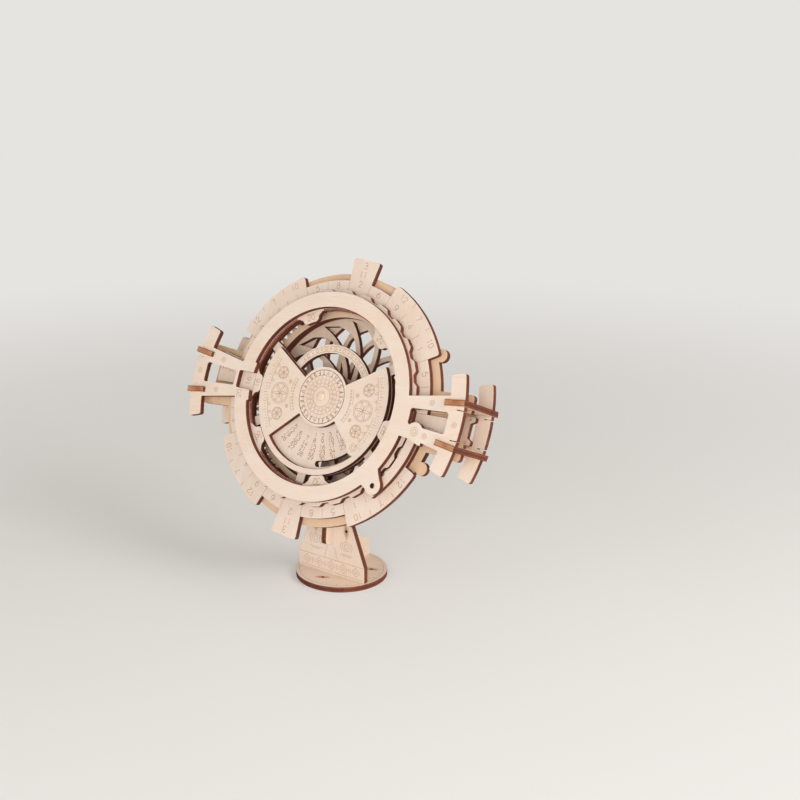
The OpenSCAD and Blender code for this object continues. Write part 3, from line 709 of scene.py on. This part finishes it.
class CALENDAR_OT_month_marks(PieceOperator, bpy.types.Operator):
    """Engrave the month ring: twelve numbers in each quarter, with lines between the sectors"""

    bl_idname = "calendar.month_marks"
    bl_label = "Month ring marks"

    def execute(self, context):
        size = settings()[1]
        face = wheel_face("month_dial")
        numbers, borders = [], []
        for quarter in range(4):
            for k, sector in enumerate(MONTH_SECTORS):
                angle = MONTH_TURN + quarter * 90 + k * SECTOR
                for text, radius in sector:
                    numbers += dial_sign(text, size.month_height, radius, angle)
                for inner, outer in TAB_BORDERS if k in (2, 3) else RING_BORDERS:
                    borders.append(radial_line(inner, outer, angle + SECTOR / 2))
        engrave("month_numbers", "month_wheel", face, numbers, size.line)
        engrave("month_borders", "month_wheel", face, borders, size.fine_line)
        return {"FINISHED"}


# Dates stand in thirteen columns round six o'clock, in rows from the hub outwards
DATE_COLUMNS, DATE_ROWS = 13, 6
DATE_RADIUS, DATE_STEP = 20, 3
# The arch: radii of its two lines, half of their angle, and the row of rings between them
ARCH_LINES, ARCH_HALF = (24.9, 27.6), 56
ARCH_MIDDLE, ARCH_RING, ARCH_DOT = 26.25, 0.85, 0.4


class CALENDAR_OT_date_marks(PieceOperator, bpy.types.Operator):
    """Engrave the date plate: columns of dates, and small and larger rings along the arch"""

    bl_idname = "calendar.date_marks"
    bl_label = "Date plate marks"

    def execute(self, context):
        size = settings()[1]
        face = wheel_face("month_dial")
        dates = []
        for column in range(DATE_COLUMNS):
            for row in range(DATE_ROWS):
                # The middle column holds 1, 8, 15 and so on, so the first row is only half full
                day = 7 * row + column - DATE_COLUMNS // 2 + 1
                if 1 <= day <= 31:
                    dates += dial_sign(str(day), size.date_height, DATE_RADIUS + DATE_STEP * row,
                                       180 + (DATE_COLUMNS // 2 - column) * SECTOR, feet_out=True)
        engrave("date_numbers", "month_wheel", face, dates, size.line,
                "deep_laser_engraved_birch")
        start, end = MONTH_TURN - ARCH_HALF, MONTH_TURN + ARCH_HALF
        arch = [(arc_line(radius, start, end, 40), False) for radius in ARCH_LINES]
        for k in range(-8, 9):
            centre = polar(ARCH_MIDDLE, MONTH_TURN + k * SECTOR / 2)
            arch.append(circle_line(centre, ARCH_RING if k % 2 else ARCH_DOT, 12))
        engrave("arch_marks", "month_wheel", face, arch, size.fine_line)
        return {"FINISHED"}


# The cover: middle angles of its two lobes; radius at which the large and the small rosettes lie,
# their size, and the small ones' angle from the lobe's middle; the place of the cover's pin
LOBES = (264.5, 95.5)
LARGE_AT, LARGE_SIZE = 27.6, 4.9
SMALL_AT, SMALL_SIZE, SMALL_SPREAD = 29.4, 2.9, 22
COVER_PIN = (34.8, 129)
# Its two arcs: radius, angle where they end, steps; feet and tips of its triangles and rays; and
# the row of small rings along the inner arc
ARCS, ARC_START = [(35.2, 32, 20), (20.2, 27, 16)], 3
TRIANGLE_FOOT, TRIANGLE_TIP = 34.6, 32.9
RAY_FOOT, RAY_TIP, LONG_RAY_TIP, RAY_STEP = 36.2, 37.2, 38.2, 2.5
BEADS_AT, BEAD_SIZE = 18.7, 0.45


def rosette_lines(centre, radius, turn):
    """A six-petal rosette in two circles: six arcs of the inner circle's radius round points
    spaced evenly on it, each from rim to rim through the middle."""
    lines = [circle_line(centre, radius, 32), circle_line(centre, radius * 1.16, 32)]
    for k in range(6):
        away = turn + k * 60
        lines.append((centre + polar(radius, away) + arc_line(radius, away + 120, away + 240, 12),
                      False))
    return lines


def peak_line(radius, tip_radius, angle, half):
    """Three points that point along the radius: two feet at one radius, the tip at another."""
    return np.stack([polar(radius, angle - half), polar(tip_radius, angle),
                     polar(radius, angle + half)])


def lobe_marks(middle):
    """Plain marks of one lobe of the cover, even about its middle angle: three rosettes, small
    rings beside them, two arcs, a row of triangles that point inwards, and rays outside them."""
    lines = rosette_lines(polar(LARGE_AT, middle), LARGE_SIZE, middle)
    for side in (-1, 1):
        small = middle + side * SMALL_SPREAD
        lines += rosette_lines(polar(SMALL_AT, small), SMALL_SIZE, small)
        lines += ring_pair(polar(22.6, middle + side * 17), 0.9, 0.4, (12, 8))
        for radius, end, steps in ARCS:
            arc = arc_line(radius, middle + side * ARC_START, middle + side * end, steps)
            lines.append((arc, False))
        for angle in (11, 18, 25):
            foot = middle + side * angle
            lines.append((peak_line(TRIANGLE_FOOT, TRIANGLE_TIP, foot, 1.4), True))
    for k in range(-12, 13):
        tip = RAY_TIP if k % 3 else LONG_RAY_TIP
        lines.append(radial_line(RAY_FOOT, tip, middle + k * RAY_STEP))
    for k in range(-5, 6):
        lines.append(circle_line(polar(BEADS_AT, middle + k * 5), BEAD_SIZE, 8))
    return lines


class CALENDAR_OT_cover_marks(PieceOperator, bpy.types.Operator):
    """Engrave the window cover: rosettes, small triangles and rays on its two lobes"""

    bl_idname = "calendar.cover_marks"
    bl_label = "Window cover marks"

    def execute(self, context):
        size = settings()[1]
        face = wheel_face("window_cover")
        lines = lobe_marks(LOBES[0]) + lobe_marks(LOBES[1]) + ring_pair(polar(*COVER_PIN), 2.1, 1.0)
        engrave("cover_marks", "date_window", face, lines, size.fine_line)
        return {"FINISHED"}


# The weekday disc: radius and first angle of the initials, width of their line, and the rings
DAY_RADIUS, FIRST_DAY, DAY_LINE = 12.7, 222, 0.4
DISC_RINGS = (11.3, 9.4, 7.2, 5.3)


class CALENDAR_OT_weekday_marks(PieceOperator, bpy.types.Operator):
    """Engrave the weekday disc: four weeks of initials round its rim, and plain rings inside"""

    bl_idname = "calendar.weekday_marks"
    bl_label = "Weekday disc marks"

    def execute(self, context):
        size = settings()[1]
        face = wheel_face("weekday_disc")
        letters = []
        rings = [circle_line((0, 0), radius, 60) for radius in DISC_RINGS]
        for k in range(SECTORS):
            letters += dial_sign("SMTWTFS"[k % 7], size.day_height, DAY_RADIUS,
                                 FIRST_DAY - k * SECTOR, feet_out=True)
            rings.append(radial_line(9.8, 10.9, k * SECTOR))
        # Twenty small rings in the next band, and sixteen peaks in the one inside it
        for k in range(20):
            rings.append(circle_line(polar(8.3, k * 18), 0.55, 10))
        for k in range(16):
            rings.append((peak_line(5.7, 6.9, k * 22.5, 7), False))
        engrave("weekday_letters", "weekday_wheel", face, letters, DAY_LINE,
                "deep_laser_engraved_birch")
        engrave("weekday_rings", "weekday_wheel", face, rings, size.fine_line)
        return {"FINISHED"}


# Places on the front frame as (radius, angle): the century's number, the joints of a wing with
# their angle from the wing's middle, and the detent arm's pin
CENTURY = (52.6, 261.5)
WING_JOINTS = [(69, -7), (69, 7), (83.3, 0)]
DETENT_PIN = (62.8, 96.5)


class CALENDAR_OT_frame_marks(PieceOperator, bpy.types.Operator):
    """Engrave the frames: the century beside the notch, rings at the joints, and assembly lines"""

    bl_idname = "calendar.frame_marks"
    bl_label = "Frame marks"

    def execute(self, context):
        size = settings()[1]
        lines = dial_sign("20", size.year_height, *CENTURY)
        for wing in (90, 270):
            for radius, tilt in WING_JOINTS:
                lines += ring_pair(polar(radius, wing + tilt), 1.3, 0.5, (20, 10))
        lines += ring_pair(polar(*DETENT_PIN), 2.1, 1.0)
        engrave("front_frame_marks", ROOT, wheel_face("front_frame"), lines, size.fine_line)
        inner, braces = [], []
        for side in (1, -1):
            for up in (1, -1):
                inner.append(straight_line((60.5 * side, 3.6 * up), (75.5 * side, 5.2 * up)))
                braces.append(circle_line((77 * side, 5.9 * up), 0.6, 12))
        engrave("middle_frame_marks", ROOT, wheel_face("middle_frame"), inner, size.fine_line)
        engrave("wing_brace_marks", ROOT, wheel_face("wing_brace_left"), braces, size.fine_line)
        return {"FINISHED"}


# Thickness of the stand's sheets. On its panel, as heights over the base disc: the band's lower
# and upper line and its lozenges, and under each pierced hole a short line down to two rings
SHEET = 3
BAND_LOW, BAND_HIGH, LOZENGE_AT = 1.2, 8.6, 4.9
LOZENGE_HALF, LOZENGE_RISE, LOZENGE_STEP = 2.6, 2.7, 8.4
HOLE_SIDE, HANG_TOP, HANG_END, RINGS_AT = 10.5, 26.2, 21.5, 18.6


class CALENDAR_OT_stand_marks(PieceOperator, bpy.types.Operator):
    """Engrave the stand: rings, lines and a band of lozenges on the panel, a ring on the base"""

    bl_idname = "calendar.stand_marks"
    bl_label = "Stand marks"

    def execute(self, context):
        size = settings()[1]
        front = -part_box("stand_panel")[0].y / MM
        panel = Plane((0, 0, SHEET), (1, 0, 0), (0, 0, 1), front)
        lines = [straight_line((-22, BAND_HIGH), (22, BAND_HIGH)),
                 straight_line((-21.4, BAND_LOW), (21.4, BAND_LOW))]
        for side in (-1, 1):
            x = side * HOLE_SIDE
            centre = np.array([x, RINGS_AT])
            lines.append(straight_line((x, HANG_TOP), (x, HANG_END)))
            lines += ring_pair(centre, 2.6, 1.3, (24, 20))
            for middle in (90, 270):
                lines.append((centre + arc_line(3.9, middle - 42, middle + 42, 12), False))
            for half, height in ((4.2, 13.6), (2.8, 12.7)):
                lines.append(straight_line((x - half, height), (x + half, height)))
            lines.append(straight_line((side * 2.2, 16.6), (side * 4.6, BAND_HIGH)))
        for k in range(-2, 3):
            centre = np.array([k * LOZENGE_STEP, LOZENGE_AT])
            lozenge = centre + np.array([[0, LOZENGE_RISE], [LOZENGE_HALF, 0],
                                         [0, -LOZENGE_RISE], [-LOZENGE_HALF, 0]])
            lines += [(lozenge, True), circle_line(centre, 0.8, 14)]
        for k in (-1.5, -0.5, 0.5, 1.5):
            for x in (k * LOZENGE_STEP - 0.5, k * LOZENGE_STEP + 0.5):
                lines.append(straight_line((x, 3.4), (x, 6.4)))
        engrave("stand_panel_marks", ROOT, panel, lines, size.fine_line)
        base = Plane((0, 0, 0), (1, 0, 0), (0, 1, 0), SHEET)
        rings = [circle_line((0, 0), 23.4, 72)]
        rings += [radial_line(21.6, 22.8, k * 15) for k in range(24)]
        engrave("base_disc_marks", ROOT, base, rings, size.fine_line)
        return {"FINISHED"}


# The axle's front end over the weekday disc: height of its straight part, how far the rounded
# shoulder goes in and up, and the crown's (radius, height)
END_STRAIGHT, SHOULDER_IN, SHOULDER_UP = 0.9, 0.8, 0.7
END_CROWN = [(1.1, 1.68), (0.5, 1.74), (0.0, 1.76)]


class CALENDAR_OT_axle_ends(PieceOperator, bpy.types.Operator):
    """Round off the end of the axle that shows on the wheel's front"""

    bl_idname = "calendar.axle_ends"
    bl_label = "Axle end"

    def execute(self, context):
        radius = np.ptp(corners("axle")[:, 0]) / 2
        quarter = np.radians(np.linspace(0, 90, 9))
        shoulder = np.stack([radius - SHOULDER_IN * (1 - np.cos(quarter)),
                             END_STRAIGHT + SHOULDER_UP * np.sin(quarter)], 1)
        profile = np.vstack([[(0, 0), (radius, 0)], shoulder, END_CROWN])
        verts, faces = turned_surface(profile, 40)
        end = mesh_object("axle_front_end", wheel_face("weekday_disc").place(verts), faces,
                          bpy.data.materials["turned_birch_dowel"], smooth=True)
        weld = end.modifiers.new("poles", "WELD")
        weld.merge_threshold = 1e-6
        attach(end, "weekday_wheel")
        return {"FINISHED"}


# The stage, in metres: each lamp's place and width, and the point that all of them face
LAMPS = {
    "key": ((-0.4, -0.95, 0.55), 0.6), "fill": ((0.62, -0.85, 0.42), 0.5),
    "low": ((0.2, -0.95, 0.22), 0.5), "side": ((0.95, 0.05, 0.6), 0.5),
}
LAMP_AIM = (0, 0, 0.09)
# The floor's (radius, height) from its rim to its middle, and where it starts and ends to fade
FLOOR = np.array([(4.0, 0.0), (1.0, 0.0), (0.3, 0.0), (0.0, 0.0)])
FADE_FROM, FADE_TO = 0.1, 0.9
# The camera: place, degrees it looks down and is turned, lens, and shift of its frame
CAMERA_PLACE = (0.3822, -0.4983, 0.2923)
CAMERA_DOWN, CAMERA_TURN = 17.95, 36.31
CAMERA_LENS, CAMERA_SHIFT = 55.56, (0.0438, 0.0258)


def matt_painted_floor(stage):
    """Matt paint on a smooth board: an even pale floor that keeps the calendar's shadow. Away from
    the calendar it glows to the camera alone, so that it fades into the backdrop."""
    material, tree, shader = new_material("matt_painted_floor")
    place = add_node(tree, "TexCoord")
    speckle = add_node(tree, "TexNoise", {"Vector": (place, "Object"), "Scale": 9.0})
    colour = set_ramp(add_node(tree, "ValToRGB", {"Fac": (speckle, "Fac")}), [
        (0.3, mixed(stage.floor, [0.5] * 3, 0.03)), (0.7, stage.floor)])
    tree.links.new(colour.outputs["Color"], shader.inputs["Base Color"])
    shader.inputs["Roughness"].default_value = 0.9
    path = add_node(tree, "LightPath")
    away = add_node(tree, "VectorMath", {0: (place, "Object")}, operation="LENGTH")
    away = add_node(tree, "MapRange", {
        "Value": (away, "Value"), "From Min": FADE_FROM, "From Max": FADE_TO, "To Min": 0.3},
        interpolation_type="SMOOTHSTEP")
    away = add_node(tree, "Math", {0: away, 1: (path, "Is Camera Ray")}, operation="MULTIPLY")
    glow = add_node(tree, "Emission", {"Color": rgba(stage.backdrop)})
    fade = add_node(tree, "MixShader", {0: away, 1: (shader, "BSDF"), 2: glow})
    output = next(n for n in tree.nodes if n.type == "OUTPUT_MATERIAL")
    tree.links.new(fade.outputs[0], output.inputs["Surface"])
    return material


def even_studio_sky(stage):
    """A world that lights the calendar evenly, and shows the backdrop's colour to the camera."""
    world = bpy.data.worlds.new("even_studio_sky")
    world.use_nodes = True
    tree = world.node_tree
    tree.nodes.clear()
    path = add_node(tree, "LightPath")
    seen = add_node(tree, "Mix", {
        "Factor": (path, "Is Camera Ray"), "A": rgba(stage.sky), "B": rgba(stage.backdrop)},
        data_type="RGBA")
    sky = add_node(tree, "Background", {"Color": (seen, "Result")})
    add_node(tree, "OutputWorld", {"Surface": sky})
    return world


def add_lamp(name, place, width, power):
    """A square area lamp that faces the middle of the calendar."""
    data = bpy.data.lights.new(name, "AREA")
    data.size, data.energy = width, power
    lamp = bpy.data.objects.new(name, data)
    out = np.array(place) - np.array(LAMP_AIM)
    out = out / np.linalg.norm(out)
    side = np.cross([0, 0, 1], out)
    side = side / np.linalg.norm(side)
    turn = Matrix(np.stack([side, np.cross(out, side), out], 1).tolist()).to_4x4()
    lamp.matrix_world = Matrix.Translation(place) @ turn
    bpy.context.scene.collection.objects.link(lamp)


class CALENDAR_OT_stage(PieceOperator, bpy.types.Operator):
    """Lay the floor and set the lamps, the sky and the camera"""

    bl_idname = "calendar.stage"
    bl_label = "Stage"

    def execute(self, context):
        stage = settings()[2]
        scene = context.scene
        scene.view_settings.view_transform = "Standard"
        scene.world = even_studio_sky(stage)
        verts, faces = turned_surface(FLOOR, 64)
        mesh_object("floor", verts, faces, matt_painted_floor(stage))
        for name, (place, width) in LAMPS.items():
            add_lamp(name + "_lamp", place, width, getattr(stage, name + "_power"))
        data = bpy.data.cameras.new("camera")
        data.lens, data.sensor_width = CAMERA_LENS, 36.0
        data.shift_x, data.shift_y = CAMERA_SHIFT
        camera = bpy.data.objects.new("camera", data)
        camera.location = CAMERA_PLACE
        camera.rotation_euler = (math.radians(90 - CAMERA_DOWN), 0, math.radians(CAMERA_TURN))
        scene.collection.objects.link(camera)
        scene.camera = camera
        return {"FINISHED"}


class CALENDAR_PT_panel(bpy.types.Panel):
    """The calendar's operators and settings in the sidebar"""

    bl_label = "Perpetual desk calendar"
    bl_idname = "CALENDAR_PT_panel"
    bl_space_type = "VIEW_3D"
    bl_region_type = "UI"
    bl_category = "Calendar"

    def draw(self, context):
        column = self.layout.column()
        for operator in OPERATORS:
            column.operator(operator.bl_idname)
        for group in settings():
            for name in group.bl_rna.properties.keys():
                if name not in ("rna_type", "name"):
                    column.prop(group, name)


GROUPS = (CalendarWoodColours, CalendarEngravingSizes, CalendarStageSettings)
OPERATORS = (
    CALENDAR_OT_plywood_finish, CALENDAR_OT_dowel_finish, CALENDAR_OT_year_marks,
    CALENDAR_OT_month_marks, CALENDAR_OT_date_marks, CALENDAR_OT_cover_marks,
    CALENDAR_OT_weekday_marks, CALENDAR_OT_frame_marks, CALENDAR_OT_stand_marks,
    CALENDAR_OT_axle_ends, CALENDAR_OT_stage,
)


def register():
    """Registers the settings, the operators and the panel."""
    for part in (*GROUPS, *OPERATORS, CALENDAR_PT_panel):
        bpy.utils.register_class(part)
    bpy.types.Scene.calendar_wood = PointerProperty(type=CalendarWoodColours)
    bpy.types.Scene.calendar_engraving = PointerProperty(type=CalendarEngravingSizes)
    bpy.types.Scene.calendar_stage = PointerProperty(type=CalendarStageSettings)


def unregister():
    """Takes away what register() added."""
    del bpy.types.Scene.calendar_wood
    del bpy.types.Scene.calendar_engraving
    del bpy.types.Scene.calendar_stage
    for part in reversed((*GROUPS, *OPERATORS, CALENDAR_PT_panel)):
        bpy.utils.unregister_class(part)


def main():
    """Builds the calendar piece by piece."""
    register()
    for operator in OPERATORS:
        group, name = operator.bl_idname.split(".")
        result = getattr(getattr(bpy.ops, group), name)()
        if "FINISHED" not in result:
            raise RuntimeError(f"{operator.bl_idname} did not finish: {result}")


if __name__ == "__main__":
    main()
